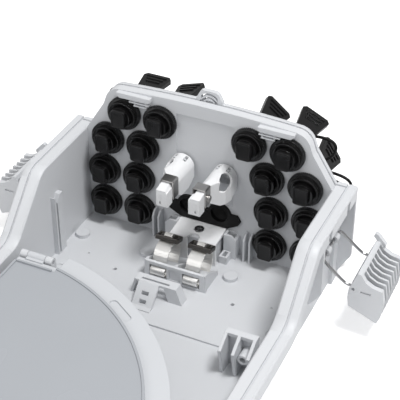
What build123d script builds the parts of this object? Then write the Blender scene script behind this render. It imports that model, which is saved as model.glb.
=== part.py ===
from build123d import *
from math import cos, pi, radians, sin, sqrt, tan
import os

# Fibre termination box lying on its back, open side up, in millimetres.
# X runs across the box, +Y points at the end wall that holds the customer ports, +Z is up.
# The origin is the centre of the back face and of the four fixing holes in it.

# Driving dimensions of the case
CASE_LENGTH = 328.0
INNER_WIDTH = 214.0
WALL = 3.0
FLOOR = 3.0
PORT_DECK = 1.5
DECK_REACH = 109.0
RIM_HIGH = 92.5
RIM_LOW = 49.5
SLOPE_START = 72.0
SLOPE_ANGLE = 45.0
RIM_BEND = 18.0
RIM_WIDTH = 17.0
RIM_THICK = 3.0
RIM_EASE = 1.2
SKIRT_DEPTH = 12.0
SKIRT_THICK = 2.5
GROOVE_WIDTH = 1.6
GROOVE_DEPTH = 1.5
GROOVE_PLACE = 9.0
PORT_RIM_DEPTH = 13.0
SHOULDER_X = 82.5
SHOULDER_Z = 132.3
SHOULDER_ROUND = 11.0
KNEE_X = 87.5
KNEE_Z = 118.0
PORT_CROWN = 135.5
CORNER_ROUND = 12.0

# Driving dimensions of the ports
PORT_PITCH = 32.0
PORT_INNER_X = 59.0
LOWEST_PORT = 20.0
ROW_SHIFTS = (0.0, 0.0, 4.5, 20.5)
HOLE_RADIUS = 9.2
BARREL_RADIUS = 9.0
BARREL_INSIDE = 10.5
FLANGE_RADIUS = 12.6
FLANGE_THICK = 3.5
SEAL_STEP = 1.2
NUT_RADIUS = 14.1
NUT_HUB_RADIUS = 12.0
NUT_RIM = 4.2
NUT_THICK = 7.5
NUT_NOTCHES = 4
PLUG_WIDTH = 11.0
PLUG_OUT = 14.0
PLUG_FACE = 12.0
PLUG_TALL = 15.5
SOCKET_DEPTH = 7.0
CAP_RADIUS = 11.4
CAP_LENGTH = 14.0
CAP_FLUTES = 12
NECK_RADIUS = 6.0
NECK_LENGTH = 6.0
PADDLE_LENGTH = 30.0
PADDLE_ROOT = 15.0
PADDLE_TIP = 25.0
PADDLE_THICK = 4.2
PADDLE_RIBS = 3
STRAP_RADIUS = 1.2
STRAP_RING = 2.4
TETHER_REACH = 30.5
TETHER_DROP = 15.0
TOP_TETHER_DROP = 5.0
FIT = 0.3
RUNNING_FIT = 0.06

# Turn of each paddle about its port, in degrees, left side then right side, top row first
PADDLE_TURNS = (0, 18, 35, -20, 62, 10, -45, 25, -39, -26, 15, -58, 40, -12, 70, 5)

# Driving dimensions of the cable entry
ENTRY_X = 14.0
ENTRY_Z = 36.8
ENTRY_BORE = 7.5
ENTRY_DOME = 10.2
ENTRY_WING = 33.0
SEAL_THICK = 2.5
SHELF_WIDTH = 41.0
SHELF_REACH = 22.5
SHELF_HEIGHT = 24.0
SHELF_SCREW = 10.4
CHEEK_WIDTH = 11.0
CHEEK_REACH = 9.0

# Driving dimensions of the strap clamps, their bracket and the fibre bridge
STRAP_X = 14.5
STRAP_AT = 41.5
HOOP_RADIUS = 13.2
HOOP_THICK = 0.8
HOOP_WIDTH = 12.5
BRACKET_WIDTH = 55.0
BRACKET_FACE = 58.0
BRACKET_HEIGHT = 16.5
BRACKET_WALL = 2.6
BRIDGE_BACK = 71.0
BRIDGE_TOP = 14.5

# Driving dimensions of the two fibre guide arms that hook on the end wall
ARM_X = 18.8
ARM_Z = 73.2
ARM_HEAD = 20.0
ARM_TONGUE = 9.5
ARM_OFFSET = 5.0
ARM_REACH = 50.0
ARM_SKIN = 1.8
ARM_CROWN = 13.5
ARM_DROP = 4.0
HOOK_APART = 4.5
HOOK_WIDTH = 1.8
HOOK_REACH = 7.5

# Driving dimensions of the splice tray
TRAY_X = -97.0
TRAY_Y = 295.0
TRAY_RADIUS = 189.0
LID_RADIUS = 172.0
TRAY_TOP = 42.0
TRAY_DEPTH = 14.0
TRAY_SKIN = 2.0
TRAY_NEAR = 308.0
TRAY_EDGE = 123.5
TRAY_LEFT = -101.0
LID_THICK = 3.0
HINGE_AT = 118.5
HINGE_X = -87.0
HINGE_PIN_RADIUS = 1.5

# Driving dimensions of the side latches
BAIL_RADIUS = 1.25
BAIL_NEAR = 47.0
BAIL_FAR = 7.0
BAIL_PIVOT_X = 118.5
BAIL_PIVOT_Z = 58.3
BAIL_KNEE_X = 138.0
BAIL_KNEE_Z = 41.3
LEVER_X = 145.5
LEVER_WIDTH = 48.0
LEVER_RIBS = 6

# Where the back is screwed to its wall bracket
FIXING_X = 98.6
FIXING_Y = 125.0
FIXING_HOLE = 2.0
BOSS_RADIUS = 6.0
BOSS_HEIGHT = 3.2
FAR_FIXING = 32.0

PORT = FIXING_Y + FAR_FIXING
NEAR = PORT + 2 * WALL - CASE_LENGTH
HALF = INNER_WIDTH / 2
DECK = FLOOR + PORT_DECK
HIGH_Y = PORT - SLOPE_START
LOW_Y = HIGH_Y - (RIM_HIGH - RIM_LOW) / tan(radians(SLOPE_ANGLE))
RIM_END = PORT + PORT_RIM_DEPTH
RIM_NEAR = NEAR - RIM_WIDTH + WALL
RIM_OUT = HALF + RIM_WIDTH
TALL = 200.0


def box(x0, x1, y0, y1, z0, z1):
    """Block between two corners."""
    return Pos((x0 + x1) / 2, (y0 + y1) / 2, (z0 + z1) / 2) * Box(abs(x1 - x0), abs(y1 - y0), abs(z1 - z0))


def along_y(x, z, y0, y1, radius):
    """Round bar or bore along Y."""
    return Pos(x, (y0 + y1) / 2, z) * Rot(90, 0, 0) * Cylinder(radius, abs(y1 - y0))


def along_x(y, z, x0, x1, radius):
    """Round bar or bore along X."""
    return Pos((x0 + x1) / 2, y, z) * Rot(0, 90, 0) * Cylinder(radius, abs(x1 - x0))


def along_z(x, y, z0, z1, radius):
    """Round bar or bore along Z."""
    return Pos(x, y, (z0 + z1) / 2) * Cylinder(radius, abs(z1 - z0))


def prism_z(x, y, z0, z1, radius, sides=24):
    """Many-sided bar or bore along Z."""
    return Pos(x, y, z0) * extrude(RegularPolygon(radius, sides), amount=z1 - z0)


def elevation(y):
    """Plane of the end elevation at y, whose extrusions run towards -Y."""
    return Plane(origin=(0, y, 0), x_dir=(1, 0, 0), z_dir=(0, -1, 0))


def prism_y(x, z, y0, y1, radius, sides=24):
    """Many-sided bar or bore along Y."""
    return extrude(elevation(y1) * Pos(x, z) * RegularPolygon(radius, sides), amount=y1 - y0)


def side(x):
    """Plane of the side elevation at x, whose extrusions run towards +X."""
    return Plane(origin=(x, 0, 0), x_dir=(0, 1, 0), z_dir=(1, 0, 0))


def plate(plane, points, thick):
    """Flat plate with a polygon outline, extruded from its plane."""
    return extrude(plane * make_face(Polyline(*points, close=True)), amount=thick)


def wire(points, radius, sides):
    """Many-sided wire that runs through the points with mitred bends."""
    first, second = Vector(*points[0]), Vector(*points[1])
    section = Plane(origin=first, z_dir=second - first) * RegularPolygon(radius, sides)
    return sweep(section, path=Polyline(*points), transition=Transition.RIGHT)


def eased(points, cut):
    """The same run of points with every inner corner cut off."""
    run = [points[0]]
    for before, corner, after in zip(points, points[1:], points[2:]):
        here = Vector(*corner)
        for other in (before, after):
            step = (Vector(*other) - here).normalized() * cut
            run.append(tuple(here + step))
    return run + [points[-1]]


def mirrored(shape):
    """The shape's twin on the other side of the box."""
    return mirror(shape, about=Plane.YZ)


def port_places():
    """Centres of the sixteen ports, left side first, top row first, from left to right."""
    rows = []
    height = DECK + LOWEST_PORT
    for index, shift in enumerate(ROW_SHIFTS):
        if index:
            height += sqrt(PORT_PITCH**2 - (shift - ROW_SHIFTS[index - 1]) ** 2)
        rows.append((PORT_INNER_X - shift, height))
    places = []
    for sign in (-1, 1):
        for inner, z in reversed(rows):
            pair = [sign * inner, sign * (inner + PORT_PITCH)]
            places += [(x, z) for x in sorted(pair)]
    return places


PORTS = port_places()


def port_outline():
    """Outline of the raised end wall, with a slightly arched top."""
    edge = HALF + WALL
    foot = RIM_HIGH - 2 * RIM_THICK - 1.6 * WALL
    flank = [(SHOULDER_X, SHOULDER_Z), (KNEE_X, KNEE_Z), (edge, foot), (edge, 0)]
    lines = Polyline(*[(-x, z) for x, z in flank], *reversed(flank))
    crown = ThreePointArc((SHOULDER_X, SHOULDER_Z), (0, PORT_CROWN), (-SHOULDER_X, SHOULDER_Z))
    face = make_face(lines + crown)
    shoulders = face.vertices().sort_by(Axis.Y)[-2:]
    return fillet(shoulders, SHOULDER_ROUND)


def case_walls():
    """Floor, side walls and near wall, up to the underside of the rim."""
    top = 2 * RIM_THICK
    shift = top * tan(radians(SLOPE_ANGLE / 2))
    near, far = NEAR - WALL, PORT + WALL
    profile = make_face(Polyline((near, 0), (far, 0), (far, RIM_HIGH - top), (HIGH_Y + shift, RIM_HIGH - top),
                                 (LOW_Y + shift, RIM_LOW - top), (near, RIM_LOW - top), close=True))
    block = extrude(side(0) * profile, amount=HALF + WALL, both=True)
    block -= box(-HALF, HALF, NEAR, PORT, FLOOR, TALL)
    block += box(-HALF, HALF, PORT - DECK_REACH, PORT, FLOOR, DECK)
    for x in (-1, 1):
        block -= Pos(x * (HALF + WALL), near, 0) * corner_tool(x)
    return block


def corner_tool(sign):
    """Cutter that rounds an upright near corner of the case."""
    tool = box(0, CORNER_ROUND * 2, -CORNER_ROUND, CORNER_ROUND, -1, TALL) if sign > 0 else \
        box(-CORNER_ROUND * 2, 0, -CORNER_ROUND, CORNER_ROUND, -1, TALL)
    tool = Pos(-sign * CORNER_ROUND, 0, 0) * tool
    return tool - along_z(-sign * CORNER_ROUND, CORNER_ROUND, -2, TALL + 1, CORNER_ROUND)


def rim_section():
    """Section of the rim: a flange with a seal groove, a skirt and the top of the wall."""
    groove = GROOVE_PLACE
    face = make_face(Polyline((0, 0), (groove, 0), (groove, GROOVE_DEPTH), (groove + GROOVE_WIDTH, GROOVE_DEPTH),
                              (groove + GROOVE_WIDTH, 0), (RIM_WIDTH, 0), (RIM_WIDTH, SKIRT_DEPTH),
                              (RIM_WIDTH - SKIRT_THICK, SKIRT_DEPTH), (RIM_WIDTH - SKIRT_THICK, RIM_THICK),
                              (WALL, RIM_THICK), (WALL, 4 * RIM_THICK), (0, 4 * RIM_THICK), close=True))
    edges = [v for v in face.vertices() if abs(v.Y) < 1e-6 and (abs(v.X) < 1e-6 or abs(v.X - RIM_WIDTH) < 1e-6)]
    return chamfer(edges, RIM_EASE)


def side_rim(near):
    """Right-hand rim from a place near the corner, swept over the step in the side wall."""
    path = FilletPolyline((HALF, near, RIM_LOW), (HALF, LOW_Y, RIM_LOW), (HALF, HIGH_Y, RIM_HIGH),
                          (HALF, RIM_END, RIM_HIGH), radius=RIM_BEND)
    start = Plane(origin=(HALF, near, RIM_LOW), x_dir=(1, 0, 0), z_dir=(0, 1, 0))
    return sweep(start * rim_section(), path=path)


def half_rim():
    """Right half of the rim: side, rounded corner and half of the straight run over the near wall."""
    across = Plane(origin=(0, NEAR, RIM_LOW), x_dir=(0, -1, 0), z_dir=(1, 0, 0))
    along = Plane(origin=(HALF, RIM_NEAR, RIM_LOW), x_dir=(1, 0, 0), z_dir=(0, 1, 0))
    rim = extrude(along * rim_section(), amount=4 * RIM_WIDTH) + extrude(across * rim_section(), amount=RIM_OUT)
    rim -= Pos(RIM_OUT, RIM_NEAR, 0) * corner_tool(1)
    return rim + skirt_corner() + side_rim(RIM_NEAR + 4 * RIM_WIDTH)


def skirt_corner():
    """Curved piece of skirt that closes the right near corner of the rim."""
    x, y = RIM_OUT - CORNER_ROUND, RIM_NEAR + CORNER_ROUND
    low = RIM_LOW - SKIRT_DEPTH
    ring = along_z(x, y, low, RIM_LOW - RIM_THICK / 2, CORNER_ROUND)
    ring -= along_z(x, y, low - 1, RIM_LOW, CORNER_ROUND - SKIRT_THICK)
    top = RIM_LOW - RIM_THICK / 2
    corner = ring & box(x, x + CORNER_ROUND, y - CORNER_ROUND, y, 0, TALL)
    web = SKIRT_THICK / 4
    corner += box(x - 4, x + 1, RIM_NEAR + web, RIM_NEAR + SKIRT_THICK - web, low + web, top)
    return corner + box(RIM_OUT - SKIRT_THICK + web, RIM_OUT - web, y - 1, y + 4, low + web, top)


def port_rim():
    """Raised end wall with the flange that shelters the caps."""
    outline = port_outline()
    outer = offset(outline, amount=RIM_THICK, kind=Kind.INTERSECTION)
    rim = extrude(elevation(RIM_END) * outer, amount=PORT_RIM_DEPTH)
    tips = rim.edges().group_by(Axis.Y)[-1].filter_by(lambda e: e.center().Z > RIM_HIGH)
    rim = chamfer(tips, RIM_EASE / 2)
    rim -= extrude(elevation(RIM_END + 1) * outline, amount=PORT_RIM_DEPTH - WALL + 1)
    groove = extrude(elevation(PORT + GROOVE_PLACE) * (offset(outline, amount=RIM_THICK + 1)
                     - offset(outline, amount=RIM_THICK - GROOVE_DEPTH)), amount=GROOVE_WIDTH)
    rim -= groove & box(-TALL, TALL, 0, TALL, RIM_HIGH, TALL)
    rim = rim & box(-TALL, TALL, 0, TALL, 0, TALL)
    return rim + box(-HALF - WALL, HALF + WALL, PORT, RIM_END, 0, FLOOR)


def rim_link():
    """Groove that joins the side rim's groove to the end wall's."""
    y = PORT + GROOVE_PLACE
    return box(HALF - WALL, HALF + GROOVE_PLACE + GROOVE_WIDTH, y - GROOVE_WIDTH, y,
               RIM_HIGH - GROOVE_DEPTH, RIM_HIGH + 1)


def latch_side():
    """Fins, hinge lugs and skirt notches for one latch."""
    under = RIM_HIGH - RIM_THICK
    wall = HALF + WALL
    fin_near = plate(elevation(PORT - 57.5), [(wall - 1, under), (RIM_OUT, under), (RIM_OUT, DECK + 35),
                     (RIM_OUT - 9, DECK + 23), (wall - 1, DECK + 20)], 3)
    fin_far = plate(elevation(RIM_END), [(wall - 1, under), (RIM_OUT, under), (RIM_OUT, DECK + 22),
                    (RIM_OUT - 10, 8), (wall - 1, 4)], 3)
    solid = fin_near + fin_far
    for y in (PORT - 18, PORT - 36):
        pivot = DECK + BAIL_PIVOT_Z
        lug = box(wall - 1, BAIL_PIVOT_X, y - 3, y + 3, pivot - 3.2, pivot + 3.2)
        lug += along_y(BAIL_PIVOT_X, pivot, y - 3, y + 3, 3.2)
        solid += lug - along_y(BAIL_PIVOT_X, pivot, y - 4, y + 4, BAIL_RADIUS + RUNNING_FIT)
    return solid


def leg_notches():
    """Cutter for the two notches that let the bail's legs swing up past the skirt."""
    low = RIM_HIGH - SKIRT_DEPTH - 1
    notches = [box(RIM_OUT - 4 * SKIRT_THICK / 2 - 1, RIM_OUT + 1, PORT - y - 3.2, PORT - y + 3.2, low,
                   RIM_HIGH - RIM_THICK) for y in (BAIL_NEAR, BAIL_FAR)]
    return notches[0] + notches[1]


def lid_hook_tab():
    """Right-hand catch under the raised rim, with its two bowed ribs."""
    y = PORT - 4.5
    under = DECK + 126
    tab = plate(elevation(PORT + 1), [(46, under + 1.6), (49, under + 0.8), (73, under + 0.6), (76, under + 3),
                (76, under + 5), (46, under + 5)], 5.5)
    rib = box(47, 64.5, y, PORT + 1, under - 1.6, under - 0.6) + box(49, 60.5, y, PORT + 1, under - 4.2, under - 3.2)
    for x in (49, 59):
        rib += box(x, x + 1.5, y + 1, PORT + 1, under - 4.2, under + 1)
    return tab + rib


def gusset_fins():
    """Two thin upright fins beside the cable entry on the right."""
    fins = Part()
    for x in (38.0, 43.0):
        fins += plate(side(x), [(PORT + 1, DECK - 1), (PORT - 8.5, DECK - 1), (PORT - 8.5, DECK + 21),
                                (PORT - 4.5, DECK + 25.5), (PORT + 1, DECK + 25.5)], 1.6)
    return fins


def divider_slot():
    """Upright slot with a flared mouth that holds a divider plate, on the right wall."""
    y = PORT - 61
    low, high = DECK - 0.5, DECK + 57
    rail = box(HALF - 4, HALF + 1, y + 1.1, y + 9, low, high)
    rail += box(HALF - 4, HALF + 1, y - 3.2, y - 1.1, low, high)
    mouth = plate(side(HALF - 5), [(y - 1.1, high - 7), (y - 2.6, high + 1), (y + 5, high + 1), (y + 1.1, high - 7)], 5)
    return rail - mouth


def cheek():
    """Hollow cheek that carries the seal's wing, on the right."""
    x0 = SHELF_WIDTH / 2 + 0.6
    outer = plate(elevation(PORT + 1), [(x0, DECK - 1), (x0 + CHEEK_WIDTH, DECK - 1), (x0 + CHEEK_WIDTH, DECK + 19),
                  (x0 + CHEEK_WIDTH - 4, DECK + 23), (x0, DECK + 23)], CHEEK_REACH + 1)
    hollow = box(x0 + 2, x0 + CHEEK_WIDTH - 2, PORT - CHEEK_REACH + 2, PORT - 1.5, DECK + 4, TALL)
    toe = box(x0, x0 + 7, PORT - CHEEK_REACH - 9, PORT - CHEEK_REACH + 1, DECK - 1, DECK + 7)
    toe -= box(x0 + 1.8, x0 + 5.2, PORT - CHEEK_REACH - 7.2, PORT - CHEEK_REACH - 1, DECK + 1, TALL)
    return outer - hollow + toe


def shelf_block():
    """Hollow pedestal under the seal clamp."""
    half = SHELF_WIDTH / 2 - 2
    block = box(-half, half, PORT - SHELF_REACH + 3, PORT + 1, DECK - 1, DECK + SHELF_HEIGHT - 3.5)
    block -= box(-half + 2, half - 2, PORT - SHELF_REACH + 5, PORT - 2, DECK, DECK + SHELF_HEIGHT - 5.5)
    post = prism_z(0, PORT - SHELF_SCREW, DECK - 1, DECK + SHELF_HEIGHT - 3.5, 3.6, 16)
    return block + post - along_z(0, PORT - SHELF_SCREW, DECK + 4, TALL, 1.4)


def arm_hooks():
    """Two upturned hooks on the end wall that catch in the right arm's slots, and the ledge under them."""
    z = DECK + ARM_Z
    root = PORT + WALL - 0.5
    hooks = box(ARM_X - 6, ARM_X + 6, PORT - 5, root, z - 4, z - 2)
    for x in (ARM_X - HOOK_APART, ARM_X + HOOK_APART):
        x0, x1 = x - HOOK_WIDTH / 2, x + HOOK_WIDTH / 2
        hooks += box(x0, x1, PORT - HOOK_REACH, root, z + 6, z + 8.4)
        hooks += box(x0, x1, PORT - HOOK_REACH, PORT - HOOK_REACH + 2, z + 6, z + ARM_CROWN - 1)
    return hooks


def wing_outline():
    """Outline of the cable seal: two domes side by side on a long low wing."""
    low, half = DECK + SHELF_HEIGHT + 0.6, ENTRY_WING
    high = DECK + ENTRY_Z + 2.2
    wing = make_face(Polyline((-half + 12, low), (half - 12, low), (half - 2, low + 5.5), (half, low + 9),
                              (half - 3, high), (-half + 3, high), (-half, low + 9), (-half + 2, low + 5.5), close=True))
    for x in (-ENTRY_X, ENTRY_X):
        wing += Pos(x, DECK + ENTRY_Z) * RegularPolygon(ENTRY_DOME, 32)
    return wing


def hang_lug():
    """Arched hanging eye on top of the end wall's flange, with a fan of openings."""
    z0 = PORT_CROWN + RIM_THICK - 2
    radius = 11.4
    flank = [(radius, z0 - 1), (radius - 0.5, z0 + 4.5), (radius - 3.6, z0 + 10.4), (radius - 5.6, z0 + 11.8)]
    arch = make_face(Polyline(*flank, *[(-x, z) for x, z in reversed(flank)], close=True))
    arch -= Pos(0, z0 + 2.2) * SlotOverall(6.4, 2)
    arch -= make_face(Polyline((-9.4, z0 + 0.8), (-4.8, z0 + 0.8), (-4.8, z0 + 5), close=True))
    arch -= make_face(Polyline((9.4, z0 + 0.8), (4.8, z0 + 0.8), (4.8, z0 + 5), close=True))
    for outer, inner in ((9.4, 7.7), (6.2, 4.7)):
        fan = RegularPolygon(outer, 24) - RegularPolygon(inner, 24)
        fan = fan & Pos(0, outer) * Rectangle(1.5 * outer, outer * 1.2)
        arch -= Pos(0, z0 + 0.6) * fan
    return extrude(elevation(RIM_END - 1) * arch, amount=4)


def cover_lugs():
    """Two bored lugs on the near wall where the cover hooks on."""
    lugs = Part()
    for x in (-70, 70):
        lug = box(x - 8, x + 8, NEAR - WALL - 9, NEAR - WALL + 1, 22, 32)
        lug += along_x(NEAR - WALL - 9, 27, x - 8, x + 8, 5)
        lugs += lug - along_x(NEAR - WALL - 9, 27, x - 9, x + 9, 2.5)
    return lugs


def tray_supports():
    """Hinge post and rests for the splice tray."""
    z = DECK + TRAY_TOP
    y = PORT - HINGE_AT
    stand = Part()
    for x in (HINGE_X - 14, HINGE_X + 8):
        ear = box(x, x + 6, y - 3.5, y + 3.5, FLOOR - 1, z) + along_x(y, z, x, x + 6, 3.5)
        stand += ear
    stand += box(HINGE_X - 14, HINGE_X + 14, y + 0.5, y + 3.5, FLOOR - 1, z - 12)
    stand -= along_x(y, z, HINGE_X - 20, HINGE_X + 20, HINGE_PIN_RADIUS)
    top = z - TRAY_DEPTH - FIT
    for x, back in ((-80, 282), (55, 292), (30, 207)):
        stand += prism_z(x, PORT - back, FLOOR - 1, top, 5, 16)
    return stand


def floor_marks():
    """Raised screw bosses on the floor, over the four fixings and beside the entry."""
    bosses = Part()
    for x in (-FIXING_X, FIXING_X):
        for y in (-FIXING_Y, FIXING_Y):
            base = DECK if y > 0 else FLOOR
            bosses += prism_z(x, y, base - 1, base + BOSS_HEIGHT, BOSS_RADIUS)
    for x in (-38, 38):
        bosses += prism_z(x, FIXING_Y, DECK - 1, DECK + BOSS_HEIGHT, BOSS_RADIUS)
    return bosses


def floor_holes():
    """Blind fixing holes in the back, small drain holes and two shallow rings in the floor."""
    cuts = Part()
    for x in (-FIXING_X, FIXING_X):
        for y in (-FIXING_Y, FIXING_Y):
            cuts += along_z(x, y, -1, FLOOR + BOSS_HEIGHT - 1.2, FIXING_HOLE)
        ring = prism_z(x * 0.96, PORT - 80, DECK - 0.4, DECK + 1, 6)
        cuts += ring - prism_z(x * 0.96, PORT - 80, DECK - 1, DECK + 2, 5.2)
    for x in (-52.4, 52.4):
        cuts += prism_z(x, PORT - 61, -1, DECK + 1, 1.6, 12)
    for x in (-82, 82):
        cuts += prism_z(x, PORT - 52, DECK - 1, DECK + 1, 0.9, 12)
    return cuts


def base_shell():
    """The moulded case: one piece."""
    rim = half_rim()
    lace = latch_side()
    shell = case_walls() + rim + mirrored(rim) + port_rim()
    shell += lace + mirrored(lace)
    for part in (lid_hook_tab(), gusset_fins(), divider_slot(), cheek()):
        shell += part
        shell += mirrored(part)
    shell += shelf_block()
    shell += hang_lug()
    shell += cover_lugs()
    shell += tray_supports()
    shell += floor_marks()
    link = rim_link()
    notch = leg_notches()
    shell -= link + mirrored(link)
    shell -= notch + mirrored(notch)
    shell -= floor_holes()
    shell -= box(-25, 25, PORT - 1, PORT + 1.2, DECK + 46, DECK + 122)
    hooks = arm_hooks()
    shell += hooks + mirrored(hooks)
    shell -= extrude(elevation(PORT + WALL + 1) * offset(wing_outline(), amount=-2), amount=WALL + 2)
    for x, z in PORTS:
        shell -= prism_y(x, z, PORT - 1, PORT + WALL + 1, HOLE_RADIUS)
    return shell


def case_blocks(shell):
    """The moulded case as separate blocks that meet in its inside corners."""
    step, y = PORT - DECK_REACH, PORT - HINGE_AT
    floor = box(-HALF, HALF, step, PORT, -1, DECK) + box(-HALF, HALF, NEAR, step, -1, FLOOR)
    for x in (-FIXING_X, FIXING_X):
        for boss in (-FIXING_Y, FIXING_Y):
            reach = BOSS_RADIUS + 1
            floor += box(x - reach, x + reach, boss - reach, boss + reach, 1, DECK + BOSS_HEIGHT + 1)
    stand = box(HINGE_X - 15, HINGE_X + 15, y - 5, y + 5, FLOOR, DECK + TRAY_TOP + 5)
    zones = {"case_floor": floor, "case_tray_stand": stand,
             "case_fittings": box(-HALF, HALF, NEAR, PORT, -1, TALL) - floor - stand,
             "case_near_wall": box(-TALL, TALL, -TALL, NEAR, -1, TALL),
             "case_end_wall": box(-TALL, TALL, PORT, TALL, -1, TALL),
             "case_side_left": box(-TALL, -HALF, NEAR, PORT, -1, TALL),
             "case_side_right": box(HALF, TALL, NEAR, PORT, -1, TALL)}
    return {name: several((shell & zone).solids()) for name, zone in zones.items()}


def at_port(shape, place, turn=0):
    """Moves a piece modelled about the Y axis to a port, turned about that port's axis."""
    x, z = place
    return Pos(x, PORT, z) * Rot(0, -turn, 0) * shape


def adapter():
    """Through-coupler: barrel, outer flange with its moulded-on seal, and a square socket inside."""
    body = prism_y(0, 0, -BARREL_INSIDE, WALL + 15, BARREL_RADIUS)
    body += prism_y(0, 0, WALL, WALL + SEAL_STEP + FLANGE_THICK, FLANGE_RADIUS)
    half = PLUG_WIDTH / 2 + FIT
    body -= box(-half, half, -BARREL_INSIDE - 1, -BARREL_INSIDE + SOCKET_DEPTH, -half, half)
    return body - prism_y(0, 0, WALL + 4, WALL + 16, BARREL_RADIUS - 2.2, 12)


def lock_nut():
    """Round nut with a notched rim behind a narrower grip ring."""
    nut = prism_y(0, 0, -NUT_RIM, 0, NUT_RADIUS) + prism_y(0, 0, -NUT_THICK, 0, NUT_HUB_RADIUS)
    for index in range(NUT_NOTCHES):
        notch = box(NUT_HUB_RADIUS + 0.7, NUT_RADIUS + 1, -NUT_RIM - 1, 1, -1.6, 1.6)
        nut -= Rot(0, index * 360 / NUT_NOTCHES + 7.5, 0) * notch
    return nut - prism_y(0, 0, -NUT_THICK - 1, 1, BARREL_RADIUS)


def inner_plug():
    """Dust plug in the coupler's inner socket, with a taller face in front."""
    half = PLUG_WIDTH / 2
    wide, tall = PLUG_FACE / 2, PLUG_TALL / 2
    stem = box(-half, half, -BARREL_INSIDE - 0.5, -BARREL_INSIDE + SOCKET_DEPTH - FIT, -half, half)
    face = box(-wide, wide, -PLUG_OUT, -BARREL_INSIDE, -tall, tall)
    return stem + chamfer(face.edges().group_by(Axis.Y)[0], 0.8)


def snug(radius):
    """Corner radius of a bore with the cap's number of sides whose flats clear a bar of this radius."""
    return radius / cos(pi / CAP_FLUTES)


def cap_start():
    """Distance from the inner face of the wall to the open end of a dust cap."""
    return WALL + SEAL_STEP + FLANGE_THICK + STRAP_RING + 2 * FIT


def dust_cap():
    """Quarter-turn cap: fluted skirt, grooved neck and a flared ribbed paddle."""
    start = cap_start()
    end = start + CAP_LENGTH
    skirt = extrude(elevation(end) * RegularPolygon(CAP_RADIUS, CAP_FLUTES), amount=CAP_LENGTH)
    skirt -= along_y(0, 0, start - 1, end - 2, BARREL_RADIUS + FIT)
    cap = skirt + prism_y(0, 0, end - 1, end + NECK_LENGTH + 1, NECK_RADIUS, CAP_FLUTES)
    root, tip = PADDLE_ROOT / 2, PADDLE_TIP / 2
    low = end + NECK_LENGTH
    high = low + PADDLE_LENGTH
    blade = plate(Plane(origin=(0, 0, -PADDLE_THICK / 2), x_dir=(1, 0, 0), z_dir=(0, 0, 1)),
                  [(-root, low), (root, low), (root + 0.8, low + 3), (tip, high - 3), (tip - 2.5, high),
                   (-tip + 2.5, high), (-tip, high - 3), (-root - 0.8, low + 3)], PADDLE_THICK)
    cap += blade
    for index in range(PADDLE_RIBS):
        y = high - 4 - index * 4
        width = tip - 3.6 - index * 1.3
        cap += box(-width, width, y - 0.8, y + 0.8, -PADDLE_THICK / 2 - 0.9, PADDLE_THICK / 2 + 0.9)
    return cap


def strap_ring(y, inner, turn):
    """Flat ring of a tether, with a short tail on its outer side."""
    outer = inner + STRAP_RING
    end = y + STRAP_RING
    tail = Rot(0, -turn, 0) * box(inner, outer + 2, y, end, -STRAP_RADIUS, STRAP_RADIUS)
    return prism_y(0, 0, y, end, outer, CAP_FLUTES) + tail - prism_y(0, 0, y - 1, end + 1, inner, CAP_FLUTES)


def spoke(turn, reach, y):
    """Point at a distance from a port's axis, in the direction of an angle from +X towards +Z."""
    return (reach * cos(radians(turn)), y, reach * sin(radians(turn)))


def tether(heading, outward):
    """Moulded rubber tether: a ring on the coupler, a ring on the cap's neck and the cord between.

    A cord that leads outward climbs past the end of the flange before it swings clear of the case."""
    sign = 1 if cos(radians(heading)) > 0 else -1
    low = cap_start() - FIT - STRAP_RING
    high = cap_start() + CAP_LENGTH + (NECK_LENGTH - STRAP_RING) / 2
    down, up = heading - 38 * sign, heading + 16 * sign
    inner_low, inner_high = snug(BARREL_RADIUS + 0.1), snug(NECK_RADIUS + FIT)
    rings = strap_ring(low, inner_low, down) + strap_ring(high, inner_high, up)
    y0, y1 = low + STRAP_RING / 2, high + STRAP_RING / 2
    close = CAP_RADIUS + 5
    far = TETHER_REACH - (0 if outward else 6)
    climb = PORT_RIM_DEPTH + 6 if outward else y0 + 2
    points = [spoke(down, inner_low + STRAP_RING + 1, y0), spoke(down, close, y0), spoke(down, close + 4, climb),
              spoke(heading - 24 * sign, far - 3, y1 - 5), spoke(heading - 8 * sign, far, y1 - 1),
              spoke(heading + 6 * sign, far - 3, y1 + 1), spoke(up, close, y1),
              spoke(up, inner_high + STRAP_RING + 1, y1)]
    return rings + wire(points, STRAP_RADIUS, 6)


def tether_plan():
    """Direction of each tether and whether it leads outward, into the free space beside the ports."""
    top = max(z for x, z in PORTS)
    plan = []
    for x, z in PORTS:
        inner = min(abs(other) for other, height in PORTS if abs(height - z) < 1)
        outward = abs(x) > inner + 1
        drop = TOP_TETHER_DROP if z > top - 1 else TETHER_DROP
        tilt = -drop if outward else 0
        right = (x > 0) == outward
        plan.append((tilt if right else 180 - tilt, outward))
    return plan


def cable_seal():
    """Rubber seal on the inner face, with a bored dome for each feeder cable."""
    seal = extrude(elevation(PORT) * wing_outline(), amount=SEAL_THICK)
    seal += extrude(elevation(PORT + WALL) * offset(wing_outline(), amount=-2 - FIT / 2), amount=WALL)
    for x in (-ENTRY_X, ENTRY_X):
        z = DECK + ENTRY_Z
        seal += prism_y(x, z, PORT + WALL, PORT + WALL + 8, ENTRY_DOME, 32)
        seal -= along_y(x, z, PORT - SEAL_THICK - 1, PORT + WALL + 9, ENTRY_BORE)
    return seal


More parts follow.
